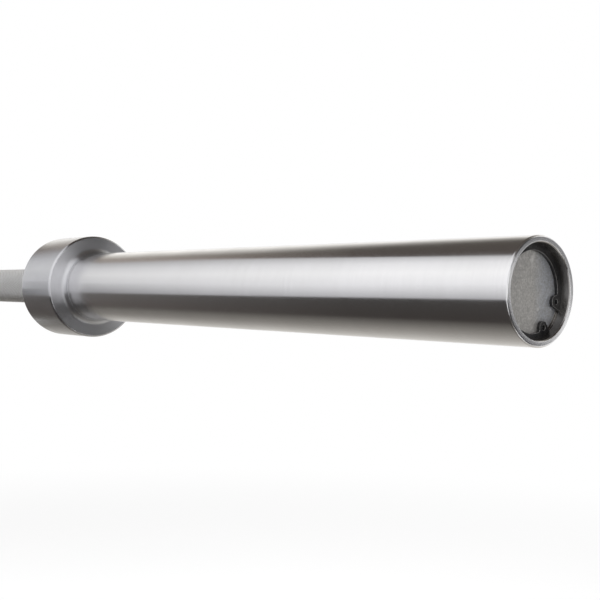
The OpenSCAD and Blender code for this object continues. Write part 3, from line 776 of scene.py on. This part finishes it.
# Studio: a white room, a pale floor far below the racked bar, soft lamps, and plain cards that only show as
# reflections in the steel
studio = {
    "roomLight": 0.55, "floorHeight": -1.0, "floorRadius": 30, "floorColour": (0.93, 0.93, 0.93, 1),
    "fadeFrom": 1.8, "fadeTo": 4.0, "floorGlow": 0.12,
    # The long cards' drum: its radius, two lengths, steps round each card, and where along the bar it slants
    "cardReach": 1.0, "frontLength": 8, "backLength": 3.4, "cardSteps": 8, "cardStops": (-0.3, 0.05, 0.4),
    # Long cards: span in degrees about the bar, how far each edge slants per metre along the bar, a colour at
    # each edge, and from where to where each edge's light changes, and by what share
    "cards": {
        "backRim": {"length": "backLength", "span": (-156, -125), "low": (0.80, 0.775, 0.735),
                    "high": (0.52, 0.50, 0.465), "far": (0.1, -1.0, 0.95, 0.93)},
        "backLow": {"length": "backLength", "span": (-125, -98), "low": (0.52, 0.50, 0.465),
                    "high": (0.30, 0.285, 0.26), "far": (0.1, -1.0, 0.93, 0.80)},
        "underside": {"length": "frontLength", "span": (-98, -66), "low": (0.30, 0.285, 0.26),
                      "high": (0.07, 0.064, 0.058), "far": (0.1, -1.0, 0.73, 1.5)},
        "frontDark": {"length": "frontLength", "span": (-66, -18), "slant": (0, 4),
                      "low": (0.048, 0.042, 0.039), "high": (0.055, 0.052, 0.050),
                      "far": (0.1, -1.3, 2.9, 2.9)},
        "frontLow": {"length": "frontLength", "span": (-18, 12), "slant": (4, 0), "low": (0.51, 0.51, 0.525),
                     "high": (0.94, 0.94, 0.955), "far": (-0.05, -1.8, 0.27, 0.31)},
        "frontMiddle": {"length": "frontLength", "span": (12, 38), "low": (0.98, 0.98, 0.995),
                        "high": (1.12, 1.12, 1.12), "far": (0.3, -1.4, 0.57, 0.62)},
        "frontHigh": {"length": "frontLength", "span": (38, 60), "low": (1.12, 1.12, 1.12),
                      "high": (0.98, 0.98, 0.99), "far": (0.3, -1.05, 0.71, 0.71)},
        "frontTop": {"length": "frontLength", "span": (60, 82), "slant": (0, -15), "low": (0.98, 0.98, 0.99),
                     "high": (0.60, 0.60, 0.61), "far": (0.3, -1.05, 0.71, 0.68)},
        "overhead": {"length": "frontLength", "span": (82, 113), "slant": (-15, 26),
                     "low": (0.085, 0.072, 0.065), "high": (0.09, 0.08, 0.07),
                     "far": (0.05, -0.65, 3.7, 3.7)},
        "backRise": {"length": "backLength", "span": (113, 127), "slant": (26, 26),
                     "low": (0.10, 0.09, 0.078), "high": (0.44, 0.42, 0.39), "far": (0.05, -1.3, 3.4, 1.75)},
        "backHigh": {"length": "backLength", "span": (127, 139), "slant": (26, 10), "low": (0.44, 0.42, 0.39),
                     "high": (0.84, 0.825, 0.785), "far": (0.05, -1.3, 1.75, 1.5)},
        "backTop": {"length": "backLength", "span": (139, 154), "slant": (10, 0), "low": (0.84, 0.825, 0.785),
                    "high": (1.25, 1.23, 1.19), "far": (0.05, -1.3, 1.5, 1.2)},
    },
    # Past the sleeve's end the long cards are brighter
    "brightFrom": 1.6, "brightTo": 2.2, "brightShare": 1.4, "endReach": 1.3, "endTurn": 10,
    # End cards: stations of turn, lowest and highest rise in degrees, and a colour at each of two turns
    "endCards": {
        "DarkCard": {"stations": ((-16, -58, 58), (38, -56, 60), (50, -34, 38), (57, -8, 14), (78, -3, 14),
                                  (125, -3, 12)),
                     "span": (45, 80), "low": (0.05, 0.05, 0.053), "high": (0.45, 0.45, 0.455)},
        "FrontCard": {"stations": ((-50, -5, 50), (5, -5, 38), (22, -3, 22)), "span": (-46, -20),
                      "nearer": 0.95, "low": (1.1, 1.1, 1.11), "high": (0.77, 0.77, 0.78)},
        "FillCard": {"stations": ((-50, -36, -5), (-16, -30, -5)), "span": (-50, -16), "nearer": 0.95,
                     "low": (1.0, 1.0, 1.01), "high": (1.0, 1.0, 1.01), "sides": (1,)},
        "CollarStrip": {"stations": ((22, -4, 13), (33, -4, 5.5)), "span": (22, 33), "nearer": 0.9,
                        "low": (2.2, 2.2, 2.2), "high": (2.2, 2.2, 2.2)},
        "EndStrip": {"stations": ((44, 3, 7), (92, -26, -21)), "span": (44, 92), "nearer": 0.9,
                     "low": (0.9, 0.9, 0.9), "high": (1.2, 1.2, 1.2)},
    },
    "lamps": {
        "keyLamp": {"place": (1.2, -2.2, 2.6), "size": 2.4, "power": 70},
        "fillLamp": {"place": (-1.6, -1.6, 2.2), "size": 2.4, "power": 35},
        "backLamp": {"place": (0, 2.6, 2.4), "size": 2.4, "power": 35},
    },
}


# Whether a ray comes from the camera, or through a reflection
def seenRays(tree):
    path = addNode(tree, "ShaderNodeLightPath").outputs
    seen = add(tree, path["Is Camera Ray"], path["Is Glossy Ray"], True)
    return add(tree, seen, path["Is Transmission Ray"], True)


def makeWorld():
    world = bpy.data.worlds.new("room")
    world.use_nodes = True
    bpy.context.scene.world = world
    tree = world.node_tree
    strength = blendValue(tree, seenRays(tree), studio["roomLight"], 1.0)
    tree.nodes["Background"].inputs["Color"].default_value = (1, 1, 1, 1)
    tree.links.new(strength, tree.nodes["Background"].inputs["Strength"])


def makeFloor():
    mesh = bpy.data.meshes.new("floor")
    reach, height = studio["floorRadius"], studio["floorHeight"]
    mesh.from_pydata([(-reach, -reach, height), (reach, -reach, height), (reach, reach, height),
                      (-reach, reach, height)], [], [(0, 1, 2, 3)])
    material = bpy.data.materials.new("paleFloor")
    material.use_nodes = True
    tree = material.node_tree
    tree.nodes.clear()
    matt = addNode(tree, "ShaderNodeBsdfDiffuse", {"Color": studio["floorColour"]})
    seen = seenRays(tree)
    glow = addNode(tree, "ShaderNodeEmission", {"Strength": multiply(tree, seen, studio["floorGlow"])})
    lit = addNode(tree, "ShaderNodeAddShader", {0: matt.outputs[0], 1: glow.outputs[0]})
    strength = blendValue(tree, seen, studio["roomLight"], 1.0)
    white = addNode(tree, "ShaderNodeEmission", {"Strength": strength})
    place = addNode(tree, "ShaderNodeTexCoord").outputs["Object"]
    flat = addNode(tree, "ShaderNodeVectorMath", {0: place, 1: (1, 1, 0)}, operation="MULTIPLY")
    away = addNode(tree, "ShaderNodeVectorMath", {0: flat.outputs[0]}, operation="LENGTH").outputs["Value"]
    fade = mapValue(tree, away, studio["fadeFrom"], studio["fadeTo"], 0, 1, True)
    shown = addNode(tree, "ShaderNodeMixShader", {0: fade, 1: lit.outputs[0], 2: white.outputs[0]})
    behind = addNode(tree, "ShaderNodeNewGeometry").outputs["Backfacing"]
    clear = addNode(tree, "ShaderNodeBsdfTransparent")
    oneSided = addNode(tree, "ShaderNodeMixShader", {0: behind, 1: shown.outputs[0], 2: clear.outputs[0]})
    out = addNode(tree, "ShaderNodeOutputMaterial")
    tree.links.new(oneSided.outputs[0], out.inputs[0])
    mesh.materials.append(material)
    floor = bpy.data.objects.new("floor", mesh)
    bpy.context.scene.collection.objects.link(floor)


# A glowing card that only shows as a reflection, with the colour that shade() builds in its tree
def reflectionOnly(name, points, faces, shade):
    mesh = bpy.data.meshes.new(name)
    mesh.from_pydata(points, [], faces)
    material = bpy.data.materials.new(name)
    material.use_nodes = True
    tree = material.node_tree
    tree.nodes.clear()
    glow = addNode(tree, "ShaderNodeEmission", {"Strength": 1})
    tree.links.new(shade(tree), glow.inputs["Color"])
    out = addNode(tree, "ShaderNodeOutputMaterial")
    tree.links.new(glow.outputs[0], out.inputs[0])
    mesh.materials.append(material)
    card = bpy.data.objects.new(name, mesh)
    bpy.context.scene.collection.objects.link(card)
    card.visible_camera = False
    card.visible_diffuse = False
    card.visible_transmission = False
    card.visible_shadow = False


# How far an angle lies from a card's low edge to its high one
def cardShare(tree, across, up, low, high):
    angle = doMath(tree, "ARCTAN2", up, across)
    return mapValue(tree, angle, low, high, 0, 1)


def cardShade(tree, share, card):
    return blendColour(tree, share, (*card["low"], 1), (*card["high"], 1))


# A long card is part of a drum about the bar. Its angle is 0 towards the camera's side and 90 straight up
def makeLongCard(name, card):
    points, faces = [], []
    stops, steps, reach = studio["cardStops"], studio["cardSteps"], studio["cardReach"]
    half = studio[card["length"]] / 2
    slants = card.get("slant", (0, 0))
    columns = (-half, *stops, half)
    for x in columns:
        shift = max(stops[0], min(stops[-1], x))
        start, finish = (edge + slant * shift for edge, slant in zip(card["span"], slants))
        for i in range(steps + 1):
            angle = math.radians(start + (finish - start) * i / steps)
            points.append((x, -reach * math.cos(angle), reach * math.sin(angle)))
    for column in range(len(columns) - 1):
        for i in range(steps):
            corner = column * (steps + 1) + i
            faces.append((corner, corner + 1, corner + steps + 2, corner + steps + 1))

    def shade(tree):
        place = addNode(tree, "ShaderNodeTexCoord").outputs["Object"]
        parts = addNode(tree, "ShaderNodeSeparateXYZ", {0: place}).outputs
        shift = mapValue(tree, parts[0], stops[0], stops[-1], stops[0], stops[-1])
        edges = [addShare(tree, math.radians(edge), shift, math.radians(slant))
                 for edge, slant in zip(card["span"], slants)]
        share = cardShare(tree, multiply(tree, parts[1], -1), parts[2], *edges)
        farFrom, farTo, lowShare, highShare = card["far"]
        farthest = blendValue(tree, share, lowShare, highShare)
        light = blendValue(tree, mapValue(tree, parts[0], farTo, farFrom, 1, 0), 1.0, farthest)
        past = mapValue(tree, parts[0], studio["brightFrom"], studio["brightTo"], 1, studio["brightShare"])
        scale = multiply(tree, light, past)
        lit = {0: cardShade(tree, share, card), "Scale": scale}
        return addNode(tree, "ShaderNodeVectorMath", lit, operation="SCALE").outputs[0]

    reflectionOnly(name, points, faces, shade)


# Adds stations between those given, so that a card turns by no more than the widest step
def fillStations(stations, widest):
    filled = [stations[0]]
    for before, after in zip(stations, stations[1:]):
        count = math.ceil((after[0] - before[0]) / widest)
        for i in range(1, count + 1):
            filled.append([a + (b - a) * i / count for a, b in zip(before, after)])
    return filled


# An end card is part of a drum past the sleeve's end. Its turn is 0 along the bar and 90 towards the back
def makeEndCard(side, way, name, card):
    points, faces = [], []
    reach = studio["endReach"] * card.get("nearer", 1)
    middle = endOf("sleeve")
    for i, (turn, *rises) in enumerate(fillStations(card["stations"], studio["endTurn"])):
        for rise in rises:
            points.append((way * (middle + reach * math.cos(math.radians(turn))),
                           reach * math.sin(math.radians(turn)), reach * math.tan(math.radians(rise))))
        if i:
            faces.append((2 * i - 2, 2 * i - 1, 2 * i + 1, 2 * i))

    def shade(tree):
        place = addNode(tree, "ShaderNodeTexCoord").outputs["Object"]
        parts = addNode(tree, "ShaderNodeSeparateXYZ", {0: place}).outputs
        outward = doMath(tree, "SUBTRACT", multiply(tree, parts[0], way), middle)
        share = cardShare(tree, outward, parts[1], *(math.radians(edge) for edge in card["span"]))
        return cardShade(tree, share, card)

    reflectionOnly(side + name, points, faces, shade)


def makeLamps():
    for name, lamp in studio["lamps"].items():
        data = bpy.data.lights.new(name, "AREA")
        data.shape = "SQUARE"
        data.size = lamp["size"]
        data.energy = lamp["power"]
        light = bpy.data.objects.new(name, data)
        light.location = lamp["place"]
        light.rotation_euler = light.location.to_track_quat("Z", "Y").to_euler()
        light.visible_camera = False
        light.visible_glossy = False
        bpy.context.scene.collection.objects.link(light)


makeWorld()
makeFloor()
for cardName, cardValues in studio["cards"].items():
    makeLongCard(cardName, cardValues)
for side, way in sides.items():
    for cardName, cardValues in studio["endCards"].items():
        if way in cardValues.get("sides", (1, -1)):
            makeEndCard(side, way, cardName, cardValues)
makeLamps()
bpy.context.scene.view_settings.view_transform = "Standard"
print("studio made")
